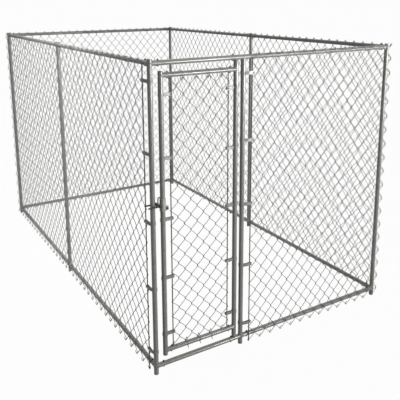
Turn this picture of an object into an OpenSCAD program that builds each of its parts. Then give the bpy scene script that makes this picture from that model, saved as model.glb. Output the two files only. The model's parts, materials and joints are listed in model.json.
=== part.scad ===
// Outdoor dog kennel run: a bolted tube frame with chain-link walls, and a gate that turns on
// two pins and is held by a fork latch. Millimetres. X runs along the front, Y to the back, Z up.

/* [Run] */
// Height of the posts
post_h = 1829; // [1600:1:2200]
// Width across the front, post axis to post axis
run_w = 1768; // [1500:1:2400]
// Length of one side bay, post axis to post axis
bay_l = 1520; // [1200:1:1900]
// Drop from the post tops to the axis of the top rails
top_drop = 21; // [16:1:60]
// Height of the axis of the bottom rails
bottom_z = 50; // [44:1:120]

/* [Tube] */
// Outside diameter of posts, rails and gate frame
tube_d = 28.6; // [25:0.1:34]
// Wall of the tube
tube_wall = 1.6; // [1.2:0.1:2.4]
// Reach of a welded sleeve from its post's axis
sleeve_reach = 75; // [60:1:110]
// Distance of a joint bolt from its post's axis
joint_bolt_off = 48; // [30:1:54]
// Length of a rail's drawn-down end inside its sleeve
swage_l = 50; // [36:1:54]
// Length of the cone where a rail is drawn down
swage_cone = 6; // [2:0.5:12]

/* [Gate] */
// Left post axis to hinge post axis
gate_bay = 594; // [480:1:900]
// Left post axis to latch stile axis
latch_gap = 62; // [58:1:80]
// Hinge stile axis to hinge post axis
hinge_gap = 50; // [46:1:70]
// Drop from the frame's top rail to the gate's, axis to axis
gate_drop = 66; // [50:1:150]
// Rise from the frame's bottom rail to the gate's, axis to axis
gate_rise = 82; // [60:1:200]
// Latch stile above the gate's top rail axis
stile_over = 21; // [16:1:30]
// Latch stile below the gate's bottom rail axis
stile_under = 28; // [16:1:40]
// Reach of a sleeve on the gate from its stile's axis
gate_sleeve_reach = 66; // [54:1:100]
// Distance of a gate joint bolt from its stile's axis
gate_bolt_off = 40; // [30:1:42]

/* [Hinge] */
// Diameter of a hinge pin
pin_d = 12; // [8:0.5:16]
// Length of a hinge pin outside the rail
pin_out = 36; // [20:1:60]
// Length of a bush inside the hinge stile
bush_l = 40; // [24:1:70]
// Thickness of a bush's flange
flange_t = 3; // [2:0.5:5]
// Thickness of the thrust washer
washer_t = 2; // [1:0.5:4]
// Play above the upper bush
top_play = 2; // [1:0.5:5]

/* [Fabric] */
// Wire of the chain-link fabric
wire_d = 2.8; // [2:0.1:4]
// Clearance of the fabric above the ground
fabric_clear = 8; // [4:1:30]
// Fabric above the axis of the top rails
fabric_over = 24; // [18:1:60]
// Openings across one bay of fabric
bay_gaps = 11; // [6:1:12]
// Openings across the fabric of the back
back_gaps = 12; // [6:1:12]
// Openings across the fabric of the front panel
panel_gaps = 9; // [4:1:12]
// Openings across the gate's fabric
gate_gaps = 4; // [2:1:6]

/* [Bars and bands] */
// Diameter of a tension bar
bar_d = 6.4; // [5:0.1:9]
// Post axis to tension bar axis
bar_off = 52; // [50:1:70]
// Ground to the foot of a wall's tension bar
bar_foot = 6; // [3:1:40]
// Bands on each tension bar
band_n = 5; // [3:1:5]
// Ground to the middle of the lowest band on a wall's bar
band_low = 141; // [120:1:170]
// Drop from the top rails' axis to the middle of the highest band
band_drop = 92; // [75:1:115]
// Height of a tension band
band_h = 18; // [12:1:26]
// Thickness of a band's strip
band_t = 2; // [1:0.1:3]

/* [Fasteners] */
// Shank of the joint and band bolts
bolt_d = 6; // [5:0.5:8]
// Across flats of their nuts and heads
bolt_af = 10; // [10:0.5:13]
// Height of a nut
nut_h = 5; // [4:0.5:7]
// Wire of a fabric tie
tie_d = 2.6; // [2:0.1:3.4]
// Ties along each rail
tie_n = 3; // [1:1:4]

/* [Latch] */
// Height of the latch's pivot
latch_z = 1028; // [900:1:1100]
// Stile axis to the latch's pivot
pivot_off = 28; // [27:0.5:32]
// Shank of the latch bolts
latch_bolt_d = 8; // [6:0.5:10]
// Thickness of the collar
collar_t = 3; // [2:0.5:3.5]
// Collar above and below the pivot
collar_up = 34; // [20:1:50]
collar_down = 38; // [30:1:50]
// Rod of the fork
fork_d = 9; // [7:0.5:10]
// Middle of the fork to each prong's axis
prong_y = 24; // [23:0.5:30]
// Prong beyond the left post's axis
prong_past = 38; // [28:1:60]
// Width of the lifting eye
eye_w = 23; // [20:0.5:30]
// Height of the lifting eye above the pivot
eye_h = 56; // [44:1:70]
// Metal round the eye's hole
eye_rim = 5; // [3:0.5:7]

/* [Hidden] */
$fn = 48;
// Clearance beside fabric, bars and ties
fit = 0.3;
// Gap at a weld, a clamp and a running pin
weld_gap = 0.1;
clamp_gap = 0.15;
pin_gap = 0.05;

galvanised = "#9fa19b";
bright_wire = "#b3b5ae";
pale_band = "#c2c3bd";
dark_steel = "#3b3b39";
grey_nylon = "#6c6d6a";

tube_r = tube_d / 2;
bore_r = tube_r - tube_wall;
swage_r = bore_r - fit;
run_l = 2 * bay_l;
top_z = post_h - top_drop;
gate_top_z = top_z - gate_drop;
gate_bottom_z = bottom_z + gate_rise;
LEVELS = [["top", top_z], ["bottom", bottom_z]];
GATE_LEVELS = [gate_top_z, gate_bottom_z];

// Hexagon radius of a nut, and the hole that a bolt passes
hex_r = bolt_af / 2 / cos(30);
hole_d = bolt_d + 2 * fit;
head_h = 0.7 * bolt_d;
bolt_tail = 2;

// Fabric and bars lie just outside the rails
net_v = tube_r + bar_d / 2 + fit;
net_out = net_v + wire_d / 2;
net_in = net_v - wire_d / 2;
net_z = [fabric_clear, top_z + fabric_over];
tip = 0.75 * wire_d;
beside_bar = bar_off + bar_d / 2 + fit;

// Rows of openings follow the bands: each band sits between two end loops of its fabric.
// A wall has 12 rows from its lowest to its highest band, which 3, 4 or 5 bands share evenly.
wall_rows = 12 + 2;
gate_step = 4;
gate_rows = gate_step * (band_n - 1) + 2;
back_rows = wall_rows - 1;
gate_net_z = [gate_bottom_z + tube_r + fit, gate_top_z - tube_r - fit];

// Band ring, ears and the bolt that closes them, outside the bar
ring_r = tube_r + clamp_gap;
ear_gap = bar_d / 2 + clamp_gap;
band_bolt_off = bar_off + bar_d / 2 + fit + bolt_d / 2;
ear_l = band_bolt_off + bolt_d;
dome_h = 0.55 * bolt_d;
dome_r = bolt_d;
band_grip = 2 * (ear_gap + band_t + weld_gap);
band_reach = net_v + band_grip / 2 + dome_h;

// A tie's ring holds rail and wire
tie_in = (net_out + tube_r) / 2 + fit;
tie_shift = net_out + fit - tie_in;
tie_reach = tie_shift + tie_in + tie_d;
gate_tip_top = tube_r + fit + 4 * tip / 1.5 / sqrt(2) + (tie_d / 2 + fit) * sqrt(2) - tie_d / 2;
gate_tie_in = (tube_r + fit + gate_tip_top) / 2;
gate_tie_shift = gate_tip_top - gate_tie_in;

// Joint ends: reach of the sleeve, depth of the swage, place of the bolt
pin_side_swage = 2 * (tube_r + 2 + hex_r - pin_d / 2 - 2);
pin_side_reach = hinge_gap + pin_d / 2 + 2 + pin_side_swage;
FULL = [sleeve_reach, swage_l, joint_bolt_off];
SHORT = [pin_side_reach, pin_side_swage, pin_side_reach - pin_side_swage / 2];
GATE = [gate_sleeve_reach, gate_sleeve_reach - tube_r - 4, gate_bolt_off];
seam = 0.5;
joint_grip = tube_d + 2 * weld_gap;

// Hinge stile between the rails
hinge_x = gate_bay - hinge_gap;
stile_z = [bottom_z + tube_r + weld_gap + washer_t + weld_gap + flange_t,
           top_z - tube_r - top_play - flange_t];

// Latch: collar, lug round the pivot, ear of the clamp bolt, and the fork's bridge
collar_r = tube_r + clamp_gap;
collar_split = 1;
lug_r = latch_bolt_d;
lug_y = collar_split / 2 + collar_t;
clamp_off = tube_r + collar_t + 9;
clamp_z = -(collar_down + 12) / 2;
latch_hex_r = 0.9 * latch_bolt_d;
latch_head_h = 0.65 * latch_bolt_d;
boss_gap = 0.5;
boss_end = prong_y + fork_d / 2 + 1;
bridge_d = fork_d - 1;
bridge_off = lug_r + 1 + fork_d / 2;
prong_tip = fork_d / 3;
eye_t = 5;
eye_back = 4;
pivot_face = boss_end + fit;
clamp_face = lug_y + weld_gap;
latch_reach = pivot_face + latch_head_h;
// Heel of the fork, which stops against the collar when the prongs are level
heel_w = 6;
heel_h = lug_r + 5;
boss_start = lug_y + boss_gap;
heel_l = pivot_off - sqrt(pow(collar_r + collar_t, 2) - pow(boss_start, 2)) - fit;

// The outermost bolts, ties and latch centre the whole run on its origin
shift_x = (band_reach - tie_reach) / 2;
shift_y = (latch_reach - tie_reach) / 2;
x_left = shift_x - run_w / 2;
x_right = shift_x + run_w / 2;
y_front = shift_y - run_l / 2;
y_back = shift_y + run_l / 2;

// Walls go round from the front: where each starts, with its outside on local -Y
WALLS = [[x_left, y_front], [x_right, y_front], [x_right, y_back], [x_left, y_back]];
// Spans: name, wall, start, end, joint at each end, whether a corner post stands there
SPANS = [
    ["gate_span", 0, 0, gate_bay, FULL, SHORT, true, false],
    ["front_panel", 0, gate_bay, run_w, FULL, FULL, false, true],
    ["right_front", 1, 0, bay_l, FULL, FULL, true, false],
    ["right_rear", 1, bay_l, run_l, FULL, FULL, false, true],
    ["back", 2, 0, run_w, FULL, FULL, true, true],
    ["left_rear", 3, 0, bay_l, FULL, FULL, true, false],
    ["left_front", 3, bay_l, run_l, FULL, FULL, false, true],
];
// Fabric: name, wall, start, end, openings across and up
NETS = [
    ["front_panel", 0, gate_bay + beside_bar, run_w + net_in - fit, panel_gaps, wall_rows],
    ["right_front", 1, -net_out, bay_l - fit / 2, bay_gaps, wall_rows],
    ["right_rear", 1, bay_l + fit / 2, run_l + net_out, bay_gaps, wall_rows],
    ["back", 2, fit - net_in, run_w + net_in - fit, back_gaps, back_rows],
    ["left_rear", 3, -net_out, bay_l - fit / 2, bay_gaps, wall_rows],
    ["left_front", 3, bay_l + fit / 2, run_l - beside_bar, bay_gaps, wall_rows],
];
GATE_NET = ["gate", 0, latch_gap + beside_bar, hinge_x - beside_bar, gate_gaps, gate_rows];
POSTS = [
    ["front_left", x_left, y_front], ["front_right", x_right, y_front],
    ["back_left", x_left, y_back], ["back_right", x_right, y_back],
    ["mid_left", x_left, shift_y], ["mid_right", x_right, shift_y],
];

function half_pitch(net, z) =
    [(net[3] - net[2] - 2 * tip) / (2 * net[4]), (z[1] - z[0] - 2 * tip) / (2 * net[5])];
function wall_band_heights() =
    [for (k = [0:band_n - 1]) band_low + k * (top_z - band_drop - band_low) / (band_n - 1)];
function gate_band_heights() =
    [for (k = [0:band_n - 1])
        gate_net_z[0] + tip + half_pitch(GATE_NET, gate_net_z)[1] * 2 * (1 + gate_step * k)];
// Where the rising wires of a net cross height z
function wire_starts(net, z) =
    let (p = half_pitch(net, net_z), climb = (z - net_z[0] - tip) / p[1])
    [for (i = [0:net[4] - 1]) net[2] + tip + (p[0] * (1 + climb)) % (2 * p[0]) + 2 * p[0] * i];
function picks(n, of) = [for (k = [0:n - 1]) floor((k + 0.5) * of / n)];

// Puts children in a wall's frame: X along the wall, outside on -Y
module wall(i) {
    translate([WALLS[i][0], WALLS[i][1], 0]) rotate([0, 0, 90 * i]) children();
}

module turn_to_x() {
    rotate([0, 90, 0]) children();
}

module turn_to_y() {
    rotate([-90, 0, 0]) children();
}

module tube(l, r = tube_r, bore = bore_r) {
    difference() {
        cylinder(h = l, r = r);
        translate([0, 0, -1]) cylinder(h = l + 2, r = bore);
    }
}

// Frame

module post() {
    color(galvanised) tube(post_h);
}

module post_hinge() {
    color(galvanised) wall(0) translate([gate_bay, 0, 0]) difference() {
        tube(top_z);
        translate([-tube_d, 0, top_z]) turn_to_x() cylinder(h = 2 * tube_d, r = tube_r + weld_gap);
    }
}

module bolt_hole() {
    cylinder(h = 2 * tube_d, d = hole_d, center = true);
}

// Sleeve along +X from a post's axis, mitred on the inside where two meet at a corner
module sleeve(end, corner) {
    difference() {
        turn_to_x() tube(end[0]);
        cylinder(h = 2 * tube_d, r = tube_r + weld_gap, center = true);
        translate([-tube_r, -tube_d, -tube_d]) cube([tube_r, 2 * tube_d, 2 * tube_d]);
        translate([end[2], 0, 0]) bolt_hole();
        if (corner) rotate([0, 0, 45]) translate([-tube_d, -weld_gap, -tube_d])
            cube([3 * tube_d, 2 * tube_d, 2 * tube_d]);
    }
}

module frame_sleeves() {
    color(galvanised) for (s = SPANS, v = LEVELS) wall(s[1]) {
        tee_start = s[0] == "front_panel" && v[0] == "top";
        tee_end = s[0] == "gate_span" && v[0] == "top";
        pin_end = s[0] == "gate_span";
        if (!tee_start) translate([s[2], 0, v[1]]) sleeve(s[4], s[6]);
        if (!tee_end) difference() {
            translate([s[3], 0, v[1]]) mirror([1, 0, 0]) mirror([0, s[7] ? 0 : 1, 0]) sleeve(s[5], s[7]);
            if (pin_end) pin_hole() cylinder(h = tube_d, d = pin_d + 2 * pin_gap);
        }
    }
}

// Upper half of the bottom sleeve on the pin side, where its pin goes through
module pin_hole() {
    translate([hinge_x, 0, bottom_z]) children();
}

module hinge_tee() {
    color(galvanised) wall(0) translate([gate_bay, 0, top_z]) difference() {
        translate([-pin_side_reach, 0, 0]) turn_to_x() tube(pin_side_reach + sleeve_reach);
        translate([-SHORT[2], 0, 0]) bolt_hole();
        translate([joint_bolt_off, 0, 0]) bolt_hole();
        translate([-hinge_gap, 0, -tube_d]) cylinder(h = tube_d, d = pin_d + 2 * pin_gap);
    }
}

// Rail along +X between two joints, with a drawn-down and drilled end in each sleeve
module rail(l, a, b) {
    start = a[0] + seam;
    body = l - a[0] - b[0] - 2 * seam;
    inner_r = swage_r - tube_wall;
    difference() {
        translate([start, 0, 0]) turn_to_x() rotate_extrude() polygon([
            [inner_r, -a[1]], [swage_r, -a[1]], [swage_r, 0], [tube_r, swage_cone],
            [tube_r, body - swage_cone], [swage_r, body], [swage_r, body + b[1]],
            [inner_r, body + b[1]], [inner_r, body], [bore_r, body - swage_cone],
            [bore_r, swage_cone], [inner_r, 0]]);
        translate([a[2], 0, 0]) bolt_hole();
        translate([l - b[2], 0, 0]) bolt_hole();
    }
}

module frame_rail(s, z) {
    color(galvanised) wall(s[1]) translate([s[2], 0, z]) rail(s[3] - s[2], s[4], s[5]);
}

// Gate frame

module gate_latch_stile() {
    color(galvanised) wall(0) translate([latch_gap, 0, gate_bottom_z - stile_under])
        tube(gate_top_z - gate_bottom_z + stile_over + stile_under);
}

module gate_hinge_stile() {
    color(galvanised) wall(0) translate([hinge_x, 0, stile_z[0]]) tube(stile_z[1] - stile_z[0]);
}

module gate_sleeves() {
    color(galvanised) wall(0) for (z = GATE_LEVELS) {
        translate([latch_gap, 0, z]) sleeve(GATE, false);
        translate([hinge_x, 0, z]) mirror([1, 0, 0]) sleeve(GATE, false);
    }
}

module gate_rail(z) {
    color(galvanised) wall(0) translate([latch_gap, 0, z]) rail(hinge_x - latch_gap, GATE, GATE);
}

// Chain-link fabric: zigzag wires hooked into their neighbours, drawn as one flat lattice

module lattice(w, h, nx, nz) {
    a = w / (2 * nx);
    b = h / (2 * nz);
    leg = sqrt(a * a + b * b);
    ex = wire_d / 2 * leg / b;
    ez = wire_d / 2 * leg / a;
    bottom = [for (i = [0:nx - 1], e = [0, 1]) if (e == 0 || i < nx - 1)
        e == 0 ? [a + 2 * a * i, -ez] : [2 * a * (i + 1), b - ez]];
    right = [for (j = [0:nz - 1], e = [0, 1]) if (e == 0 || j < nz - 1)
        e == 0 ? [w + ex, b + 2 * b * j] : [w - a + ex, 2 * b * (j + 1)]];
    function turned(side) = [for (k = [len(side) - 1:-1:0]) side[k]];
    top = turned([for (p = bottom) [p[0], h - p[1]]]);
    left = turned([for (p = right) [w - p[0], p[1]]]);
    difference() {
        polygon(concat(bottom, right, top, left));
        for (i = [0:nx - 1], j = [0:nz - 1])
            translate([a + 2 * a * i, b + 2 * b * j]) opening(a - ex, b - ez);
        for (i = [1:nx - 1], j = [1:nz - 1])
            translate([2 * a * i, 2 * b * j]) opening(a - ex, b - ez);
    }
}

module opening(a, b) {
    polygon([[a, 0], [0, b], [-a, 0], [0, -b]]);
}

module fabric(net, z, v) {
    color(bright_wire) wall(net[1]) translate([net[2] + tip, wire_d / 2 - v, z[0] + tip])
        rotate([90, 0, 0]) linear_extrude(wire_d)
            lattice(net[3] - net[2] - 2 * tip, z[1] - z[0] - 2 * tip, net[4], net[5]);
}

// Tension bars

module wall_bar() {
    translate([bar_off, -net_v, bar_foot]) cylinder(h = top_z - bar_foot, d = bar_d);
}

module bar_hinge_post() {
    color(galvanised) at_hinge_post() wall_bar();
}

module bar_front_left() {
    color(galvanised) at_front_left() wall_bar();
}

module gate_bars() {
    color(galvanised) at_gate_stiles() translate([bar_off, 0, gate_net_z[0]])
        cylinder(h = gate_net_z[1] - gate_net_z[0], d = bar_d);
}

// Where fabric is stretched from: local +X points into the fabric
module at_hinge_post() {
    wall(0) translate([gate_bay, 0, 0]) children();
}

module at_front_left() {
    wall(3) translate([run_l, 0, 0]) mirror([1, 0, 0]) children();
}

module at_gate_stiles() {
    wall(0) {
        translate([latch_gap, 0, 0]) children();
        translate([hinge_x, 0, 0]) mirror([1, 0, 0]) children();
    }
}

module at_wall_bands() {
    at_hinge_post() at_heights(wall_band_heights()) children();
    at_front_left() at_heights(wall_band_heights()) children();
}

module at_gate_bands() {
    at_gate_stiles() at_heights(gate_band_heights()) children();
}

module at_heights(heights) {
    for (z = heights) translate([0, 0, z]) children();
}

// Tension bands: a strip round the tube whose two ears hold the bar at distance v outside the axis

module band(v) {
    inner = v - ear_gap;
    outer = v + ear_gap;
    ring_out = ring_r + band_t;
    bend = bar_off / 2;
    difference() {
        linear_extrude(band_h, center = true) difference() {
            union() {
                circle(r = ring_out);
                translate([ring_r / 2, -inner]) square([ear_l - ring_r / 2, band_t]);
                polygon([[0, -ring_out], [bend, -outer - band_t], [ear_l, -outer - band_t],
                         [ear_l, -outer], [bend + band_t, -outer], [band_t, -ring_r]]);
            }
            circle(r = ring_r);
        }
        translate([band_bolt_off, 0, 0]) turn_to_y() bolt_hole();
    }
}

// On the gate the bar lies on the stile's axis, so both ears run straight from the ring
module middle_band() {
    difference() {
        linear_extrude(band_h, center = true) difference() {
            union() {
                circle(r = ring_r + band_t);
                for (m = [0, 1]) mirror([0, m]) translate([ring_r - 1, ear_gap])
                    square([ear_l - ring_r + 1, band_t]);
            }
            circle(r = ring_r);
        }
        translate([band_bolt_off, 0, 0]) turn_to_y() bolt_hole();
    }
}

module frame_bands() {
    color(pale_band) at_wall_bands() band(net_v);
}

module gate_bands() {
    color(pale_band) at_gate_bands() middle_band();
}

// Fasteners

module nut(r = hex_r, h = nut_h, d = bolt_d) {
    difference() {
        cylinder(h = h, r = r, $fn = 6);
        translate([0, 0, -1]) cylinder(h = h + 2, d = d + 2 * pin_gap);
    }
}

// Bolt along +Z from the face under its head, with a grip and a nut's length beyond it
module hex_bolt(grip) {
    translate([0, 0, -head_h]) cylinder(h = head_h, r = hex_r, $fn = 6);
    cylinder(h = grip + nut_h + bolt_tail, d = bolt_d);
}

module carriage_bolt(grip) {
    ball = (dome_r * dome_r + dome_h * dome_h) / (2 * dome_h);
    intersection() {
        translate([0, 0, ball - dome_h]) sphere(r = ball);
        translate([0, 0, -dome_h]) cylinder(h = dome_h, r = dome_r);
    }
    cylinder(h = grip + nut_h + bolt_tail, d = bolt_d);
}

// Foot of each joint bolt: under the tube, at both ends of every rail
module at_frame_joints() {
    for (s = SPANS, v = LEVELS) wall(s[1]) {
        translate([s[2] + s[4][2], 0, v[1] - joint_grip / 2]) children();
        translate([s[3] - s[5][2], 0, v[1] - joint_grip / 2]) children();
    }
}

module at_gate_joints() {
    at_gate_stiles() at_heights(GATE_LEVELS) translate([gate_bolt_off, 0, -joint_grip / 2]) children();
}

// Outer face of a band's ears, pointing inwards
module at_band_bolt(v) {
    translate([band_bolt_off, -v - band_grip / 2, 0]) turn_to_y() children();
}

module frame_joint_bolts() {
    color(dark_steel) at_frame_joints() hex_bolt(joint_grip);
}

module frame_band_bolts() {
    color(pale_band) at_wall_bands() at_band_bolt(net_v) carriage_bolt(band_grip);
}

module frame_nuts() {
    color(dark_steel) {
        at_frame_joints() translate([0, 0, joint_grip]) nut();
        at_wall_bands() at_band_bolt(net_v) translate([0, 0, band_grip]) nut();
    }
}

module gate_joint_bolts() {
    color(dark_steel) at_gate_joints() hex_bolt(joint_grip);
}

module gate_band_bolts() {
    color(pale_band) at_gate_bands() at_band_bolt(0) carriage_bolt(band_grip);
}

module gate_nuts() {
    color(dark_steel) {
        at_gate_joints() translate([0, 0, joint_grip]) nut();
        at_gate_bands() at_band_bolt(0) translate([0, 0, band_grip]) nut();
    }
}

// Hinge

module at_pins() {
    wall(0) translate([hinge_x, 0, 0]) {
        translate([0, 0, bottom_z + tube_r]) children();
        translate([0, 0, top_z - tube_r]) mirror([0, 0, 1]) children();
    }
}

module hinge_pins() {
    color(galvanised) at_pins() translate([0, 0, -tube_wall - 1]) {
        cylinder(h = tube_wall + 1 + pin_out - 1, d = pin_d);
        translate([0, 0, tube_wall + pin_out]) cylinder(h = 1, d1 = pin_d, d2 = pin_d - 2);
    }
}

module bush() {
    difference() {
        union() {
            cylinder(h = flange_t, r = tube_r);
            cylinder(h = flange_t + bush_l, r = bore_r - pin_gap);
        }
        translate([0, 0, -1]) cylinder(h = flange_t + bush_l + 2, d = pin_d + 2 * pin_gap);
    }
}

module hinge_bushes() {
    color(grey_nylon) wall(0) translate([hinge_x, 0, 0]) {
        translate([0, 0, stile_z[0] - flange_t]) bush();
        translate([0, 0, stile_z[1] + flange_t]) mirror([0, 0, 1]) bush();
    }
}

module thrust_washer() {
    color(galvanised) wall(0) translate([hinge_x, 0, bottom_z + tube_r + weld_gap])
        tube(washer_t, tube_r, pin_d / 2 + fit);
}

// Fork latch, drawn from the latch stile's axis at the height of the pivot

module at_latch() {
    wall(0) translate([latch_gap, 0, latch_z]) children();
}

module latch_hole(gap) {
    turn_to_y() cylinder(h = 4 * tube_d, d = latch_bolt_d + 2 * gap, center = true);
}

module collar_half() {
    difference() {
        union() {
            difference() {
                translate([0, 0, -collar_down]) tube(collar_down + collar_up, collar_r + collar_t, collar_r);
                translate([-tube_d, -collar_split / 2, -collar_down - 1])
                    cube([2 * tube_d, 2 * tube_d, collar_down + collar_up + 2]);
            }
            translate([0, -collar_split / 2, 0]) rotate([90, 0, 0]) linear_extrude(collar_t) {
                translate([-pivot_off, 0]) circle(r = lug_r);
                translate([-pivot_off, -lug_r]) square([pivot_off - collar_r - 1, 2 * lug_r]);
                translate([collar_r + 1, -collar_down]) square([clamp_off - collar_r + 7, collar_down - 12]);
            }
        }
        translate([-pivot_off, 0, 0]) latch_hole(fit);
        translate([clamp_off, 0, clamp_z]) latch_hole(fit);
    }
}

module latch_collar_front() {
    color(galvanised) at_latch() collar_half();
}

module latch_collar_rear() {
    color(galvanised) at_latch() mirror([0, 1, 0]) collar_half();
}

// Two prongs joined by a bridge, bosses on the pivot bolt, and an eye that stands up in front
module latch_fork() {
    prong_l = latch_gap + prong_past - pivot_off;
    color(dark_steel) at_latch() translate([-pivot_off, 0, 0]) difference() {
        union() {
            for (m = [0, 1]) mirror([0, m, 0]) {
                translate([-prong_l, prong_y, 0]) turn_to_x() {
                    cylinder(h = prong_tip, d1 = fork_d - 2 * prong_tip, d2 = fork_d);
                    translate([0, 0, prong_tip]) cylinder(h = prong_l - prong_tip, d = fork_d);
                }
                translate([0, boss_start, 0]) turn_to_y() cylinder(h = boss_end - boss_start, r = lug_r);
                translate([0, boss_start, -heel_h]) cube([heel_l, heel_w, heel_h]);
            }
            translate([-bridge_off, -prong_y, 0]) turn_to_y() cylinder(h = 2 * prong_y, d = bridge_d);
            translate([-eye_back, eye_t / 2 - prong_y, 0]) rotate([90, 0, 0]) linear_extrude(eye_t) eye();
        }
        latch_hole(pin_gap);
    }
}

module eye() {
    r = eye_w / 2;
    difference() {
        union() {
            translate([0, eye_h - r]) circle(r = r);
            translate([-r, fork_d / 2 - 1]) square([eye_w, eye_h - r - fork_d / 2 + 1]);
        }
        translate([0, eye_h - r]) circle(r = r - eye_rim);
        translate([0, lug_r + r]) circle(r = r - eye_rim);
        translate([eye_rim - r, lug_r + r]) square([eye_w - 2 * eye_rim, eye_h - 2 * r - lug_r]);
    }
}

// Latch bolts run along +Y from the front
module latch_bolt(y, grip) {
    translate([0, y, 0]) turn_to_y() {
        translate([0, 0, -latch_head_h]) cylinder(h = latch_head_h, r = latch_hex_r, $fn = 6);
        cylinder(h = grip + nut_h + bolt_tail, d = latch_bolt_d);
    }
}

module latch_pivot_bolt() {
    color(dark_steel) at_latch() translate([-pivot_off, 0, 0]) latch_bolt(-pivot_face, 2 * pivot_face);
}

module latch_clamp_bolt() {
    color(dark_steel) at_latch() translate([clamp_off, 0, clamp_z]) latch_bolt(-clamp_face, 2 * clamp_face);
}

module latch_nuts() {
    color(dark_steel) at_latch() {
        translate([-pivot_off, pivot_face, 0]) turn_to_y() nut(latch_hex_r, nut_h, latch_bolt_d);
        translate([clamp_off, clamp_face, clamp_z]) turn_to_y() nut(latch_hex_r, nut_h, latch_bolt_d);
    }
}

// Ties: a ring of wire round rail and fabric, square to the rail

module tie(inner) {
    turn_to_x() rotate_extrude() translate([inner + tie_d / 2, 0]) circle(d = tie_d);
}

module frame_ties() {
    color(bright_wire) for (net = NETS, v = LEVELS) wall(net[1]) {
        starts = wire_starts(net, v[1]);
        for (k = picks(tie_n, net[4])) translate([starts[k], -tie_shift, v[1]]) tie(tie_in);
    }
}

module gate_ties() {
    p = half_pitch(GATE_NET, gate_net_z);
    color(bright_wire) wall(0) for (k = picks(min(tie_n, gate_gaps), gate_gaps), m = [0, 1])
        translate([GATE_NET[2] + tip + p[0] * (2 * k + 1), 0,
                   m == 0 ? gate_bottom_z + gate_tie_shift : gate_top_z - gate_tie_shift])
            tie(gate_tie_in);
}

for (p = POSTS) translate([p[1], p[2], 0]) post();
post_hinge();
frame_sleeves();
hinge_tee();
for (s = SPANS, v = LEVELS) frame_rail(s, v[1]);
gate_latch_stile();
gate_hinge_stile();
gate_rail(gate_top_z);  // gate_top_rail
gate_rail(gate_bottom_z);  // gate_bottom_rail
gate_sleeves();
for (n = NETS) fabric(n, net_z, net_v);
fabric(GATE_NET, gate_net_z, 0);  // fabric_gate
bar_hinge_post();
bar_front_left();
gate_bars();
frame_bands();
gate_bands();
frame_joint_bolts();
frame_band_bolts();
frame_nuts();
gate_joint_bolts();
gate_band_bolts();
gate_nuts();
hinge_pins();
hinge_bushes();
thrust_washer();
latch_collar_front();
latch_collar_rear();
latch_fork();
latch_pivot_bolt();
latch_clamp_bolt();
latch_nuts();
frame_ties();
gate_ties();
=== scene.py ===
# %% [markdown]
# # An outdoor dog kennel run, dressed around its CAD frame
# The kennel is a frame of galvanised tube with chain-link wire on the outside, a gate on two pins and a fork
# latch. The CAD frame already has every tube, sleeve, band and bolt in its place, so this lesson adds what
# CAD leaves plain: the woven wire, the ties and weld beads, the finish of each metal, the light and the
# camera.

# %% The frame
import json
import math

import bpy
from mathutils import Matrix, Vector


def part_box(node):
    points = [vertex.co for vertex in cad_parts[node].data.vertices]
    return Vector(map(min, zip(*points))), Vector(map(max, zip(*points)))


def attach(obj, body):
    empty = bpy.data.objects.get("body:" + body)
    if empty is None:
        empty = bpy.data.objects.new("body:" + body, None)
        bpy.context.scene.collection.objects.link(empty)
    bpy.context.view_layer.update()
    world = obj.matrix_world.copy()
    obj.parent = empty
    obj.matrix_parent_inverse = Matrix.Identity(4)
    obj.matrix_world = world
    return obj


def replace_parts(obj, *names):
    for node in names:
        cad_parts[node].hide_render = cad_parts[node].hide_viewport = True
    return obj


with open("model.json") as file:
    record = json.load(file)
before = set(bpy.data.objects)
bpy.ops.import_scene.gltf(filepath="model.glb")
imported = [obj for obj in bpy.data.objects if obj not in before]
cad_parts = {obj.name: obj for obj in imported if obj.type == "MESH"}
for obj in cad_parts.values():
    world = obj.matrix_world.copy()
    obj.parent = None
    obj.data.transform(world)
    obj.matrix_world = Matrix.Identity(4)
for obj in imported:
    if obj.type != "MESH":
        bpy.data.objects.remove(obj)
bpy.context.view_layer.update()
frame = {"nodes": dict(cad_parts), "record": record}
MM = 0.001

# %% [markdown]
# ## The camera
# The photograph was taken from the front left, a little above head height, with a short telephoto lens.
# The angles are written as a photographer sets a tripod: pan, tilt and roll.
# The lens shift moves the picture and leaves the perspective alone, so it stands for the way the photo was
# cropped.

# %% Camera
CAMERA_AT = Vector((-2.1859, -4.1545, 2.1275))
PAN, TILT, ROLL = (math.radians(a) for a in (30.324, -12.190, -0.488))
LENS, SENSOR = 51.32, 36.0
SHIFT = (0.0249, -0.1931)
SEES_TO = 5000

camera_data = bpy.data.cameras.new("camera")
camera_data.lens, camera_data.sensor_width = LENS, SENSOR
camera_data.shift_x, camera_data.shift_y = SHIFT
camera_data.clip_end = SEES_TO
camera = bpy.data.objects.new("camera", camera_data)
bpy.context.scene.collection.objects.link(camera)
camera.matrix_world = (
    Matrix.Translation(CAMERA_AT)
    @ Matrix.Rotation(-PAN, 4, "Z")
    @ Matrix.Rotation(math.pi / 2 + TILT, 4, "X")
    @ Matrix.Rotation(ROLL, 4, "Z")
)
bpy.context.scene.camera = camera
print("camera looks along", [round(x, 3) for x in camera.matrix_world.to_3x3() @ Vector((0, 0, -1))])

# %% [markdown]
# ## Writing node trees as Python
# Shader trees and geometry trees are both graphs of nodes. Two small classes keep them readable:
# `Value` wraps one socket, so that `1 - mask * 0.5` adds the Math nodes, and `Tree.add` makes any other
# node from its type, its settings and the values or links of its sockets.

# %% Values and trees
def socket_of(sockets, key):
    """A socket by its place, its identifier or its name."""
    if isinstance(key, int):
        return sockets[key]
    for field in ("identifier", "name"):
        for socket in sockets:
            if getattr(socket, field) == key:
                return socket
    raise KeyError(f"no socket {key!r} among {[s.identifier for s in sockets]}")


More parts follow.
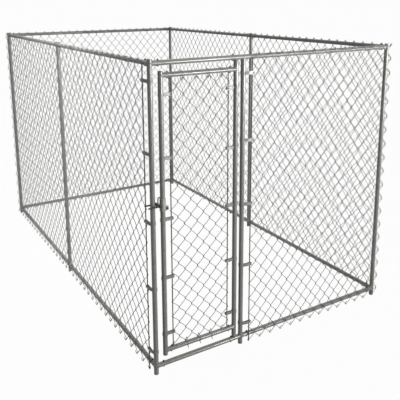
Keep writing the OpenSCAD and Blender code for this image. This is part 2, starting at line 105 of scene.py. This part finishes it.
class Value:
    """One output socket, with the operators that its tree can work out."""

    def __init__(self, tree, socket):
        self.tree, self.socket = tree, socket

    def math(self, operation, *others):
        return self.tree.number(operation, self, *others)

    def __add__(self, other):
        return self.math("ADD", other)

    def __mul__(self, other):
        return self.math("MULTIPLY", other)

    def __sub__(self, other):
        return self.math("SUBTRACT", other)

    def __truediv__(self, other):
        return self.math("DIVIDE", other)

    def __rsub__(self, other):
        return self.tree.number("SUBTRACT", other, self)

    def __rtruediv__(self, other):
        return self.tree.number("DIVIDE", other, self)

    def __neg__(self):
        return self * -1

    __radd__, __rmul__ = __add__, __mul__


class Node:
    """A node that was just made. Its outputs are read by name."""

    def __init__(self, tree, node):
        self.tree, self.node = tree, node

    def __getitem__(self, key):
        return Value(self.tree, socket_of(self.node.outputs, key))


class Tree:
    """A shader or geometry tree under construction."""

    def __init__(self, nodes):
        self.nodes = nodes

    def add(self, kind, settings=None, sockets=None):
        node = self.nodes.nodes.new(kind)
        for name, setting in (settings or {}).items():
            setattr(node, name, setting)
        for key, value in (sockets or {}).items():
            socket = socket_of(node.inputs, key)
            if isinstance(value, Value):
                self.nodes.links.new(value.socket, socket)
            else:
                socket.default_value = value
        return Node(self, node)

    def number(self, operation, *values):
        return self.add("ShaderNodeMath", {"operation": operation}, dict(enumerate(values)))["Value"]

    def between(self, value, low, high, to_low=0.0, to_high=1.0):
        ends = {"From Min": low, "From Max": high, "To Min": to_low, "To Max": to_high}
        return self.add("ShaderNodeMapRange", {}, {"Value": value, **ends})["Result"]

    def noise(self, place, scale, detail):
        sockets = {"Vector": place, "Scale": scale, "Detail": detail}
        return self.add("ShaderNodeTexNoise", {}, sockets)["Fac"]

    def mix_colour(self, factor, a, b):
        sockets = {"Factor_Float": factor, "A_Color": a, "B_Color": b}
        return self.add("ShaderNodeMix", {"data_type": "RGBA"}, sockets)["Result_Color"]


def part_way(a, b, share):
    """A value that is a at share 0 and b at share 1."""
    return a + (b - a) * share


def grey(level, warm=0.0):
    """A grey with a touch of yellow, as weathered zinc has."""
    return (level, level, level * (1 - warm), 1.0)


# %% [markdown]
# ## Finishes
# Hot-dip zinc freezes in crystals, the spangle, and weathers to soft grey patches, so the tube's finish is a
# Voronoi pattern of crystals over slow noise. Both change the colour a little and the roughness more, because
# that is what makes galvanised steel look mottled. The wire is the same zinc, drawn thin. The tension bars,
# the latch's collar and its fork have finishes of their own, because they are darker or paler than their
# neighbours.

# %% A finish
PATCHES_PER_METRE, PATCH_DETAIL = 7.0, 5.0
GRAINS_PER_METRE, GRAIN_DETAIL = 420.0, 2.0
WORN_FROM, WORN_TO = 0.35, 0.7
DIRT_TONE = 0.62
ROUGHER_BY_WEAR, ROUGHER_BY_GRAIN = 0.12, 0.06
CRYSTAL_HEIGHT = 0.4
BUMP_DEPTH = 0.4 * MM
SPECULAR = 0.2


def weathered(
    name, base, *, metallic, roughness, crystal, contrast=0.12, warm=0.06, bump=0.15, dirt=0.25
):
    """A finish with spangle and patches, and the same crystals in its colour and its roughness."""
    material = bpy.data.materials.new(name)
    material.use_nodes = True
    tree = Tree(material.node_tree)
    shader = tree.nodes.nodes["Principled BSDF"]
    place = tree.add("ShaderNodeTexCoord")["Object"]
    crystals = tree.add("ShaderNodeTexVoronoi", {"feature": "F1"}, {"Vector": place, "Scale": 1 / crystal})
    tone = tree.add("ShaderNodeSeparateColor", {}, {"Color": crystals["Color"]})["Red"]
    patches = tree.noise(place, PATCHES_PER_METRE, PATCH_DETAIL)
    grain = tree.noise(place, GRAINS_PER_METRE, GRAIN_DETAIL)
    wear = tree.between(patches, WORN_FROM, WORN_TO)
    light, dark = grey(base * (1 + contrast), warm), grey(base * (1 - contrast), warm)
    colour = tree.mix_colour(tone, dark, light)
    colour = tree.mix_colour(wear * dirt, colour, grey(base * DIRT_TONE, warm * 2))
    rough = roughness + (tone - 0.5) * contrast
    rough = rough + (wear - 0.5) * ROUGHER_BY_WEAR + (grain - 0.5) * ROUGHER_BY_GRAIN
    height = tone * CRYSTAL_HEIGHT + grain
    sockets = {"Strength": bump, "Distance": BUMP_DEPTH, "Height": height}
    normal = tree.add("ShaderNodeBump", {}, sockets)["Normal"]
    for key, value in {"Base Color": colour, "Roughness": rough, "Normal": normal}.items():
        tree.nodes.links.new(value.socket, shader.inputs[key])
    shader.inputs["Metallic"].default_value = metallic
    shader.inputs["Specular IOR Level"].default_value = SPECULAR
    return material


# %% The finishes of the kennel
FINISHES = {
    "galvanised": weathered(
        "galvanised_tube", 0.18, metallic=0.12, roughness=0.25, crystal=6 * MM, contrast=0.08
    ),
    "wire": weathered("galvanised_wire", 0.165, metallic=0.25, roughness=0.4, crystal=6 * MM),
    "band": weathered("zinc_band", 0.17, metallic=0.2, roughness=0.45, crystal=4 * MM, dirt=0.15),
    "dark_steel": weathered(
        "dark_steel", 0.025, metallic=0.1, roughness=0.45, crystal=3 * MM, contrast=0.2
    ),
    "nylon": weathered(
        "nylon", 0.10, metallic=0.0, roughness=0.55, crystal=3 * MM, contrast=0.05, warm=0.0, bump=0.05
    ),
}
OTHER_FINISHES = {
    ("bar", "bars"): weathered("tension_bar", 0.06, metallic=0.3, roughness=0.42, crystal=6 * MM),
    ("collar",): weathered(
        "latch_collar", 0.24, metallic=0.2, roughness=0.5, crystal=3 * MM, contrast=0.3
    ),
    ("fork",): weathered(
        "latch_fork", 0.035, metallic=0.3, roughness=0.45, crystal=3 * MM, contrast=0.25
    ),
}

for subpart in frame["record"]["subparts"]:
    mesh = frame["nodes"][subpart["node"]].data
    mesh.materials.clear()
    words = set(subpart["node"].split("_"))
    special = [other for names, other in OTHER_FINISHES.items() if words & set(names)]
    mesh.materials.append(special[0] if special else FINISHES[subpart["material_slot"]])
print("finishes on", len(frame["record"]["subparts"]), "CAD nodes")

# %% [markdown]
# ## Where the wire goes
# The fabric is one roll. It starts on the hinge post's tension bar, runs round the outside of three corner
# posts and ends on the front left post's bar. A flat picket can't bend round a post: the roll folds where two
# pickets hook each other, so such a line of hooks stands at each corner and each wall holds a whole number of
# pickets. All places are read from the CAD nodes, so the wire follows the frame if a size changes.

# %% Sizes of the wire
WIRE = 3.7 * MM  # its thickness
MESH = 41.9 * MM  # from one picket to the next
HALF_TURNS = {"roll": 37, "gate": 34}  # of each picket, from bottom to top
BEND = 4.6 * MM  # radius of a bend
OVERLAP = 0.55 * WIRE  # how far a bend reaches past the line of hooks
LEAD = 20 * MM  # route before the first picket and after the last
SLACK, BAR_SLACK = 0.2 * MM, 0.1 * MM  # room between a wire and what it goes round


def centre(node):
    low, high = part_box(node)
    return (low + high) / 2


def bar_axis(node, side):
    """The plan place of a node's bar and its radius. Side 0 is the lowest X, 1 the highest."""
    low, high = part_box(node)
    radius = (high.y - low.y) / 2
    return Vector((low.x + radius if side == 0 else high.x - radius, low.y + radius)), radius


post_low, post_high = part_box("post_front_right")
TUBE = (post_high.x - post_low.x) / 2
hinge_bar, BAR = bar_axis("bar_hinge_post", 0)
left_bar, _ = bar_axis("bar_front_left", 0)
HOOK = BAR + WIRE / 2 + BAR_SLACK
COVER = TUBE + WIRE / 2 + BEND + SLACK
print(f"tube {2 * TUBE / MM:.1f} mm, bar {2 * BAR / MM:.1f} mm")
print(f"fabric {COVER / MM:.2f} mm outside the posts' axes")


# %% The walls of the roll
class Wall:
    """A straight run of fabric between two plan points. Its pickets are counted on from the wall before."""

    def __init__(self, start, end, first):
        self.start, self.end, self.first = start, end, first
        self.length = (end - start).length
        self.pickets = round(self.length / MESH)
        self.pitch = self.length / self.pickets
        self.along = (end - start) / self.length
        self.outward = Vector((self.along.y, -self.along.x))
        self.turn = math.atan2(self.along.y, self.along.x)
        self.inset = [0.0, 0.0]

    def route(self):
        """The line that the fabric's middle follows. At a bar it steps in to the bar's own line."""
        near, far = self.start - self.outward * self.inset[0], self.end - self.outward * self.inset[1]
        step, lead = self.along * self.pitch, self.along * LEAD
        return [near - lead, near, self.start + step, self.end - step, far, far + lead]

    def split(self, node):
        """How many pickets come before a post of this wall."""
        return round((centre(node).xy - self.start).dot(self.along) / self.pitch)


def corner(post, x, y):
    return centre(post).xy + Vector((x, y)) * COVER


corners = [
    corner("post_front_right", 1, -1),
    corner("post_back_right", 1, 1),
    corner("post_back_left", -1, 1),
]
roll_start = Vector((hinge_bar.x, corners[0].y))
roll_end = Vector((corners[2].x, left_bar.y))
walls, counted = [], 0
for near, far in zip([roll_start, *corners], [*corners, roll_end]):
    walls.append(Wall(near, far, counted))
    counted += walls[-1].pickets
front, right, back, left = walls
front.inset[0] = hinge_bar.y - roll_start.y
left.inset[1] = left_bar.x - roll_end.x
gate_left, _ = bar_axis("gate_bars", 0)
gate_right, _ = bar_axis("gate_bars", 1)
gate = Wall(gate_left, gate_right, 0)
print(counted, "pickets in the roll")
print("pickets and pitch in mm:", [(wall.pickets, round(wall.pitch / MM, 2)) for wall in (*walls, gate)])

# %% [markdown]
# ## Chain-link fabric
# Each picket of chain link is one wire, wound on a flat blade: it leans one way on the outside and the other
# way on the inside, and at each bend it hooks the bend of the next picket. It climbs evenly, also round the
# bends, which is why the meshes have soft corners. They are a little taller than wide. At the top and bottom
# the wire is folded back on itself, the knuckle.
# A picture of crossed lines would look flat, so a Geometry Nodes tree works out the real wire: it makes the
# points of all pickets, places them by a formula and joins each picket's points into one curve, which gets a
# round section.

# %% A tree with named inputs
SECTION_SIDES = 6


class GeometryTree(Tree):
    """A geometry tree with named inputs. The first is the mesh it starts from, the last the finish."""

    def __init__(self, name, inputs):
        super().__init__(bpy.data.node_groups.new(name, "GeometryNodeTree"))
        face = self.nodes.interface
        face.new_socket("Start mesh", in_out="INPUT", socket_type="NodeSocketGeometry")
        for label, kind in inputs.items():
            face.new_socket(label, in_out="INPUT", socket_type=f"NodeSocket{kind}")
        face.new_socket("Finish", in_out="INPUT", socket_type="NodeSocketMaterial")
        face.new_socket("Geometry", in_out="OUTPUT", socket_type="NodeSocketGeometry")
        self.given = self.add("NodeGroupInput")
        self.index = self.add("GeometryNodeInputIndex")["Index"]

    def vector(self, operation, a, b):
        return self.add("ShaderNodeVectorMath", {"operation": operation}, {0: a, 1: b})["Vector"]

    def scaled(self, direction, amount):
        sockets = {0: direction, "Scale": amount}
        return self.add("ShaderNodeVectorMath", {"operation": "SCALE"}, sockets)["Vector"]

    def place(self, **axes):
        return self.add("ShaderNodeCombineXYZ", {}, axes)["Vector"]

    def round_wire(self, count, position, radius, strand=0, closed=False, swell=1.0):
        """A wire of round section through points, in strands where a strand number is given."""
        dots = self.add("GeometryNodePoints", {}, {"Count": count, "Position": position})["Points"]
        order = {"Points": dots, "Curve Group ID": strand, "Weight": self.index}
        line = self.add("GeometryNodePointsToCurves", {}, order)["Curves"]
        line = self.add("GeometryNodeSetSplineCyclic", {}, {"Geometry": line, "Cyclic": closed})["Geometry"]
        circle = {"Resolution": SECTION_SIDES, "Radius": radius}
        section = self.add("GeometryNodeCurvePrimitiveCircle", {}, circle)["Curve"]
        sweep = {"Curve": line, "Profile Curve": section, "Scale": swell, "Fill Caps": not closed}
        return self.add("GeometryNodeCurveToMesh", {}, sweep)["Mesh"]

    def at_each(self, shape):
        """A copy of a shape at each point of the start mesh, turned as the point's own attribute says."""
        kind = {"data_type": "FLOAT_VECTOR"}
        angles = self.add("GeometryNodeInputNamedAttribute", kind, {"Name": "turn"})["Attribute"]
        turn = self.add("FunctionNodeEulerToRotation", {}, {"Euler": angles})["Rotation"]
        copies = {"Points": self.given["Start mesh"], "Instance": shape, "Rotation": turn}
        return self.add("GeometryNodeInstanceOnPoints", {}, copies)["Instances"]

    def end(self, geometry):
        real = self.add("GeometryNodeRealizeInstances", {}, {"Geometry": geometry})["Geometry"]
        smooth = self.add("GeometryNodeSetShadeSmooth", {}, {"Geometry": real})["Geometry"]
        dress = {"Geometry": smooth, "Material": self.given["Finish"]}
        dressed = self.add("GeometryNodeSetMaterial", {}, dress)["Geometry"]
        self.add("NodeGroupOutput", {}, {"Geometry": dressed})
        return self.nodes


# %% The picket tree
POINTS = 5  # of a half turn
BEND_STEP = math.pi / 4  # two steps make the quarter circle that leads into or out of a bend
END_POINTS = 3  # extra points at each end of a picket
STUB = 2.3  # how many points far the folded end reaches back
NUDGE = 0.0001  # keeps a whole number from being rounded down to the one below


def picket_tree():
    floats = ("Start", "Pitch", "Foot", "Rise", "Wire", "Overlap", "Bend", "Bend climb", "Hook")
    whole = ("First", "Count", "Last", "Half turns")
    tree = GeometryTree("chain_link", {**dict.fromkeys(whole, "Int"), **dict.fromkeys(floats, "Float")})
    given = tree.given
    pitch, turns, climb = given["Pitch"], given["Half turns"], given["Bend climb"]
    per_wire = turns * POINTS + (2 * END_POINTS + 1)
    local = (tree.index / per_wire + NUDGE).math("FLOOR")
    picket = local + given["First"]
    step = tree.index - local * per_wire - END_POINTS
    step = step.math("MAXIMUM", -STUB).math("MINIMUM", turns * POINTS + STUB)
    turn = (step / POINTS + NUDGE).math("FLOOR")
    k = step - turn * POINTS

    # Points 0 to 2 of a half turn leave one bend, points 3 to 5 enter the next, and the leg lies between
    side = (picket + turn).math("FLOORED_MODULO", 2) * 2 - 1
    leg = (k - 2).math("MAXIMUM", 0).math("MINIMUM", 1)
    this_part, next_part = k.math("MINIMUM", 2), (POINTS - k).math("MINIMUM", 2)

    def bend(sign, part):
        """How far a bend reaches from the picket's middle, and how far it stands off."""
        at_first = sign.math("LESS_THAN", 0) * picket.math("LESS_THAN", 0.5)
        at_last = sign.math("GREATER_THAN", 0) * picket.math("GREATER_THAN", given["Last"] - 0.5)
        on_bar = at_first + at_last
        radius = part_way(given["Bend"], given["Hook"], on_bar)
        reach = pitch / 2 + part_way(given["Overlap"], given["Hook"], on_bar)
        angle = part * BEND_STEP
        return reach - radius * (1 - angle.math("COSINE")), radius * angle.math("SINE")

    this_reach, this_off = bend(side, this_part)
    next_reach, next_off = bend(-side, next_part)
    across = part_way(side * this_reach, -side * next_reach, leg)
    off = -side * part_way(this_off, next_off, leg)
    risen = turn + part_way(this_part * climb, 1 - next_part * climb, leg)
    height = (risen * given["Rise"]).math("PINGPONG", turns * given["Rise"]) + given["Foot"]

    # The route turns the distance along the fabric into a place and a direction
    route = tree.add("GeometryNodeMeshToCurve", {}, {"Mesh": given["Start mesh"]})["Curve"]
    along = given["Start"] + (local + 0.5) * pitch + across
    found = tree.add("GeometryNodeSampleCurve", {"mode": "LENGTH"}, {"Curves": route, "Length": along})
    outward = tree.vector("CROSS_PRODUCT", found["Tangent"], (0, 0, 1))
    place = tree.vector("ADD", found["Position"], tree.scaled(outward, off))
    place = tree.vector("ADD", place, tree.place(Z=height))
    return tree.end(tree.round_wire(per_wire * given["Count"], place, given["Wire"] / 2, strand=local))


CHAIN_LINK = picket_tree()
print(len(CHAIN_LINK.nodes), "nodes in the picket tree")

# %% [markdown]
# ## From a tree to a plain mesh
# A piece that is handed on is a plain mesh. So each tree is run on a small start mesh, the evaluated result
# is copied with new_from_object, and the modifier goes.

# %% Growing a piece
def line_mesh(name, route):
    mesh = bpy.data.meshes.new(name)
    mesh.from_pydata([(p.x, p.y, 0) for p in route], [(i, i + 1) for i in range(len(route) - 1)], [])
    return mesh


def spot_mesh(name, spots):
    """Loose points, each with the turn of the piece that stands there."""
    mesh = bpy.data.meshes.new(name)
    mesh.from_pydata([place for place, _ in spots], [], [])
    turn = mesh.attributes.new("turn", "FLOAT_VECTOR", "POINT")
    for value, (_, angles) in zip(turn.data, spots):
        value.vector = angles
    return mesh


def grow(name, tree, mesh, material, **inputs):
    """A piece made by a geometry tree from a start mesh."""
    piece = bpy.data.objects.new(name, mesh)
    bpy.context.scene.collection.objects.link(piece)
    modifier = piece.modifiers.new("grow", "NODES")
    modifier.node_group = tree
    sockets = {item.name: item.identifier for item in tree.interface.items_tree if item.in_out == "INPUT"}
    for label, value in {**inputs, "Finish": material}.items():
        modifier[sockets[label.replace("_", " ")]] = value
    graph = bpy.context.evaluated_depsgraph_get()
    plain = bpy.data.meshes.new_from_object(piece.evaluated_get(graph))
    piece.modifiers.remove(modifier)
    piece.data = plain
    plain.name = name
    bpy.data.meshes.remove(mesh)
    print(name, len(plain.polygons), "faces")
    return piece


# %% [markdown]
# ## The fabric pieces
# A long wall is cut in the model where it passes its middle post, so that each piece stands for the CAD
# fabric of that bay.

# %% Fabric of the run and of the gate
class Weave:
    """The height of a piece of fabric and its number of half turns."""

    def __init__(self, node, turns, last):
        low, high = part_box(node)
        self.foot, self.top = low.z + WIRE / 2, high.z - WIRE / 2
        self.turns = turns
        self.rise = (self.top - self.foot) / self.turns
        self.last = last


BEND_CLIMB = BEND_STEP * BEND / (math.pi * BEND + MESH + 2 * OVERLAP - 2 * BEND)
roll_weave = Weave("fabric_right_front", HALF_TURNS["roll"], counted - 1)
gate_weave = Weave("fabric_gate", HALF_TURNS["gate"], gate.pickets - 1)


def fabric(node, wall, weave, begin, end):
    """The wire of some pickets of a wall, which stands for a CAD fabric node."""
    name = node.replace("fabric", "chain_link")
    piece = grow(
        name,
        CHAIN_LINK,
        line_mesh(name + "_route", wall.route()),
        FINISHES["wire"],
        First=wall.first + begin,
        Count=end - begin,
        Last=weave.last,
        Start=LEAD + begin * wall.pitch,
        Pitch=wall.pitch,
        Half_turns=weave.turns,
        Foot=weave.foot,
        Rise=weave.rise,
        Wire=WIRE,
        Overlap=OVERLAP,
        Bend=BEND,
        Bend_climb=BEND_CLIMB,
        Hook=HOOK,
    )
    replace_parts(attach(piece, "gate" if wall is gate else "frame"), node)


right_split, left_split = right.split("post_mid_right"), left.split("post_mid_left")
BAYS = {
    "front_panel": (front, 0, front.pickets),
    "right_front": (right, 0, right_split),
    "right_rear": (right, right_split, right.pickets),
    "back": (back, 0, back.pickets),
    "left_rear": (left, 0, left_split),
    "left_front": (left, left_split, left.pickets),
}
for bay, (wall, begin, end) in BAYS.items():
    fabric("fabric_" + bay, wall, roll_weave, begin, end)
fabric("fabric_gate", gate, gate_weave, 0, gate.pickets)
print(roll_weave.turns, "half turns in the roll,", gate_weave.turns, "in the gate")

# %% [markdown]
# ## Ties
# The rails hold the fabric with short pieces of wire. Each goes round the rail and one leg of the fabric, and
# its two ends are twisted together behind the rail. The tree draws one tie as a line: a strand of the twist,
# the way round the rail, over the leg and back, and the other strand. The legs' places come from the weave's
# own numbers.

# %% The tie tree
TIE = 2.6 * MM
TWIST_POINTS, TWIST_LENGTH, TWIST_TURNS = 10, 14 * MM, 2.5
TWIST_AT = math.radians(225)
STRAND_APART = 0.53  # of the tie's thickness, from the middle of the twist
ROUND_RAIL, ROUND_LEG = 9, 6


def tie_tree():
    tree = GeometryTree("tie", {label: "Float" for label in ("Tie", "Rail round", "Leg round", "Reach")})
    given, i = tree.given, tree.index
    over = TWIST_POINTS + ROUND_RAIL
    back_again = over + ROUND_LEG
    end = back_again + ROUND_RAIL
    count = end + TWIST_POINTS

    # Both curves of the way round share one straight tangent, whose angle the two radii and the reach give
    slant = ((given["Rail round"] - given["Leg round"]) / given["Reach"]).math("ARCCOSINE")
    angle = (
        tree.between(i, TWIST_POINTS, over - 1, TWIST_AT, slant)
        - tree.between(i, over, back_again - 1, 0.0, slant * 2)
        - tree.between(i, back_again, end - 1, 0.0, 2 * math.pi - TWIST_AT - slant)
    )
    on_leg = i.math("GREATER_THAN", over - 0.5) * i.math("LESS_THAN", back_again - 0.5)
    radius = part_way(given["Rail round"], given["Leg round"], on_leg)
    out = radius * angle.math("COSINE") + given["Reach"] * on_leg
    up = radius * angle.math("SINE")

    # The strands of the twist run straight away from the rail and wind round each other
    far = tree.between(i, 0, TWIST_POINTS, 1.0, 0.0) + tree.between(i, end - 1, count - 1, 0.0, 1.0)
    wind = far * (2 * math.pi * TWIST_TURNS)
    beside = tree.between(i, TWIST_POINTS, end - 1, -STRAND_APART, STRAND_APART) * given["Tie"]
    across = beside * wind.math("SINE")
    out = out + far * (TWIST_LENGTH * math.cos(TWIST_AT)) - across * math.sin(TWIST_AT)
    up = up + far * (TWIST_LENGTH * math.sin(TWIST_AT)) + across * math.cos(TWIST_AT)
    place = tree.place(X=beside * wind.math("COSINE"), Y=-out, Z=up)
    return tree.end(tree.at_each(tree.round_wire(count, place, given["Tie"] / 2)))


TIE_TREE = tie_tree()
print(len(TIE_TREE.nodes), "nodes in the tie tree")

# %% Ties of the run
TIES_PER_RAIL = 3


def leg_at(wall, weave, picket, height):
    """Where the outer leg nearest to a picket passes a height: along the wall, and how far above it."""
    turns = (height - weave.foot) / weave.rise
    turn = math.floor(turns)
    part = min(max(turns - turn, 2 * BEND_CLIMB), 1 - 2 * BEND_CLIMB)
    picket += (wall.first + picket + turn) % 2
    leg = (part - 2 * BEND_CLIMB) / (1 - 4 * BEND_CLIMB)
    half = wall.pitch / 2 + OVERLAP - BEND
    return (picket + 0.5) * wall.pitch + half * (2 * leg - 1), (part - turns + turn) * weave.rise


def tied_pickets(begin, end):
    return [begin + round((k + 0.5) * (end - begin) / TIES_PER_RAIL) for k in range(TIES_PER_RAIL)]


def ties(name, spots, leg_round, reach, body):
    """Ties at some spots of a body, which stand for that body's CAD ties."""
    piece = grow(
        name,
        TIE_TREE,
        spot_mesh(name + "_spots", spots),
        FINISHES["wire"],
        Tie=TIE,
        Rail_round=TUBE + TIE / 2 + SLACK,
        Leg_round=leg_round,
        Reach=reach,
    )
    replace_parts(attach(piece, body), body + "_ties")


run_spots = []
for bay, (wall, begin, end) in BAYS.items():
    for level in ("top", "bottom"):
        rail = centre(f"rail_{bay}_{level}")
        axis = wall.start - wall.outward * COVER
        for picket in tied_pickets(begin, end):
            along, lift = leg_at(wall, roll_weave, picket, rail.z)
            place = axis + wall.along * along
            lean = -math.atan2(lift, COVER + BEND)
            run_spots.append(((place.x, place.y, rail.z), (lean, 0, wall.turn)))
ties("tie_wires_run", run_spots, (WIRE + TIE) / 2 + SLACK, COVER + BEND, "frame")
print(len(run_spots), "ties on the run")

# %% Ties of the gate
GATE_PICKETS = (1, 4, 6)
GATE_TIE_IN = 12 * MM  # from the edge of the fabric to the leg that a tie holds

gate_spots = []
for node, edge, way in (("gate_top_rail", gate_weave.top, 1), ("gate_bottom_rail", gate_weave.foot, -1)):
    rail = centre(node)
    for picket in GATE_PICKETS:
        along, _ = leg_at(gate, gate_weave, picket, edge - way * GATE_TIE_IN)
        place = gate.start + gate.along * along
        assert BAR < along < gate.length - BAR
        gate_spots.append(((place.x, place.y, rail.z), (way * math.pi / 2, 0, 0)))
gate_reach = centre("gate_top_rail").z - gate_weave.top + GATE_TIE_IN
ties("tie_wires_gate", gate_spots, BEND + (WIRE + TIE) / 2 + SLACK, gate_reach, "gate")
print(len(gate_spots), "ties on the gate")

# %% [markdown]
# ## Weld beads
# Each rail's sleeve is welded to its post. Two tubes of one size meet in a saddle: going round the sleeve,
# the seam lies as far from the post's axis as it lies above or below the sleeve's. A hand-laid bead has
# ripples, so the tree lets the thickness of the bead swell and shrink along the seam.

# %% The bead tree
BEAD = 2.3 * MM
SEAM_POINTS = 96
RIPPLES, RIPPLE_DEPTH = 23, 0.16
SWELLS, SWELL_DEPTH = 5, 0.1


def bead_tree():
    tree = GeometryTree("weld_bead", {"Tube": "Float", "Bead": "Float"})
    angle = tree.index * (2 * math.pi / SEAM_POINTS)
    up, beside = angle.math("COSINE"), angle.math("SINE")
    seam = tree.scaled(tree.place(X=up.math("ABSOLUTE"), Y=beside, Z=up), tree.given["Tube"])
    ripple = 1 + (angle * RIPPLES).math("SINE") * RIPPLE_DEPTH + (angle * SWELLS).math("SINE") * SWELL_DEPTH
    bead = tree.round_wire(SEAM_POINTS, seam, tree.given["Bead"], closed=True, swell=ripple)
    return tree.end(tree.at_each(bead))


BEAD_TREE = bead_tree()
print(len(BEAD_TREE.nodes), "nodes in the bead tree")

# %% Beads of the run and of the gate
SPANS = {
    "gate_span": ("post_front_left", "post_hinge"),
    "front_panel": ("post_hinge", "post_front_right"),
    "right_front": ("post_front_right", "post_mid_right"),
    "right_rear": ("post_mid_right", "post_back_right"),
    "back": ("post_back_right", "post_back_left"),
    "left_rear": ("post_back_left", "post_mid_left"),
    "left_front": ("post_mid_left", "post_front_left"),
}


def seams(ends, height):
    """The seams at both ends of a rail, each turned from its post towards the rail."""
    a, b = (centre(post).xy for post in ends)
    turn = math.atan2(b.y - a.y, b.x - a.x)
    return [((a.x, a.y, height), (0, 0, turn)), ((b.x, b.y, height), (0, 0, turn + math.pi))]


run_seams = []
for span, ends in SPANS.items():
    for level in ("top", "bottom"):
        pair = seams(ends, centre(f"rail_{span}_{level}").z)
        run_seams += [seam for seam, post in zip(pair, ends) if (post, level) != ("post_hinge", "top")]
tee = centre("post_hinge")
run_seams.append(((tee.x, tee.y, centre("hinge_tee").z), (0, math.pi / 2, 0)))
gate_seams = []
for rail in ("gate_top_rail", "gate_bottom_rail"):
    gate_seams += seams(("gate_latch_stile", "gate_hinge_stile"), centre(rail).z)
for name, spots, body in (("weld_beads_run", run_seams, "frame"), ("weld_beads_gate", gate_seams, "gate")):
    start = spot_mesh(name + "_spots", spots)
    beads = grow(name, BEAD_TREE, start, FINISHES["galvanised"], Tube=TUBE, Bead=BEAD)
    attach(beads, body)
print(len(run_seams), "beads on the run,", len(gate_seams), "on the gate")

# %% [markdown]
# ## Floor and light
# The photograph is cut out on white. So the camera sees white all round, reflections see a white floor and
# horizon, and a small share of real shading is left in the floor for the kennel's shadow. The light itself
# is a sky that is bright overhead and straight behind the kennel, and dim round about. Three lamps shape the
# tubes: a wide strip at the front right, a tall one further out, and a narrow one above the left wall.

# %% Floor
FLOOR_SIZE = 4000.0
FLOOR_WHITE = 0.975
FLOOR_GREY = 0.2


def seen_rays(tree):
    """The rays that see a white studio: those of the camera and of glass, and those of reflections."""
    path = tree.add("ShaderNodeLightPath")
    return path["Is Camera Ray"].math("MAXIMUM", path["Is Transmission Ray"]), path["Is Glossy Ray"]


def white_floor():
    material = bpy.data.materials.new("studio_floor")
    material.use_nodes = True
    tree = Tree(material.node_tree)
    tree.nodes.nodes.clear()
    looked_at, mirrored = seen_rays(tree)
    seen = looked_at.math("MAXIMUM", mirrored)
    shaded = tree.add("ShaderNodeBsdfDiffuse", {}, {"Color": grey(FLOOR_GREY)})["BSDF"]
    white = tree.add("ShaderNodeEmission", {}, {"Color": grey(1.0), "Strength": 1.0})["Emission"]
    mixed = tree.add("ShaderNodeMixShader", {}, {0: seen * FLOOR_WHITE, 1: shaded, 2: white})["Shader"]
    tree.add("ShaderNodeOutputMaterial", {}, {"Surface": mixed})
    return material


floor_mesh = bpy.data.meshes.new("floor")
half = FLOOR_SIZE / 2
ring = [(-half, -half), (half, -half), (half, half), (-half, half)]
floor_mesh.from_pydata([(x, y, 0) for x, y in ring], [], [range(4)])
floor_mesh.materials.append(white_floor())
floor = bpy.data.objects.new("floor", floor_mesh)
bpy.context.scene.collection.objects.link(floor)
print("floor", FLOOR_SIZE, "m wide")

# %% Sky
OVERHEAD = 1.1
OVERHEAD_FROM, OVERHEAD_TO = 0.35, 0.85  # height of the direction
BEHIND_X, BEHIND_Y = 0.5, 0.86  # away from the camera, in plan
FRONT_TO_BACK = (-0.9, 0.3, 0.13, 0.24)
PATCH_BEHIND = (0.45, 0.9, 0.0, 1.8)
HORIZON = (0.12, 0.2, 1.0, 0.0)

world = bpy.data.worlds.new("studio")
bpy.context.scene.world = world
world.use_nodes = True
sky = Tree(world.node_tree)
direction = sky.add("ShaderNodeTexCoord")["Generated"]
ways = sky.add("ShaderNodeSeparateXYZ", {}, {"Vector": direction})
up_share = sky.between(ways["Z"], OVERHEAD_FROM, OVERHEAD_TO)
behind = ways["X"] * BEHIND_X + ways["Y"] * BEHIND_Y
round_about = sky.between(behind, *FRONT_TO_BACK) + sky.between(behind, *PATCH_BEHIND)
level = part_way(round_about, OVERHEAD, up_share)
looked_at, mirrored = seen_rays(sky)
seen = looked_at.math("MAXIMUM", mirrored * sky.between(ways["Z"], *HORIZON))
level = part_way(level, FLOOR_WHITE, seen)
background = sky.nodes.nodes["Background"]
sky.nodes.links.new(level.socket, background.inputs["Strength"])
background.inputs["Color"].default_value = (1, 1, 1, 1)
print(len(sky.nodes.nodes), "nodes in the sky")

# %% Lamps
def lamp(name, at, towards, size, watts, cone=180):
    """A flat lamp of a width and a height that looks towards a point."""
    data = bpy.data.lights.new(name, "AREA")
    data.shape, data.energy = "RECTANGLE", watts
    data.size, data.size_y = size
    data.spread = math.radians(cone)
    made = bpy.data.objects.new(name, data)
    bpy.context.scene.collection.objects.link(made)
    made.location = at
    made.visible_camera = False
    made.rotation_euler = (Vector(towards) - Vector(at)).to_track_quat("-Z", "Y").to_euler()
    print(name, watts, "W")


lamp("key_lamp", at=(2.5, -4.4, 1.3), towards=(0.3, -1.5, 1.85), size=(3.2, 0.5), watts=28, cone=60)
lamp("front_lamp", at=(2.3, -6.1, 0.8), towards=(-0.4, -1.5, 1.4), size=(0.5, 1.2), watts=215)
lamp("top_lamp", at=(-1.6, -0.9, 5.0), towards=(-0.9, 0.1, 1.0), size=(1.0, 1.0), watts=28, cone=45)

# %% [markdown]
# ## The view
# The picture uses the Standard view, so that a colour shows as it is written.

# %% The view
bpy.context.scene.view_settings.view_transform = "Standard"
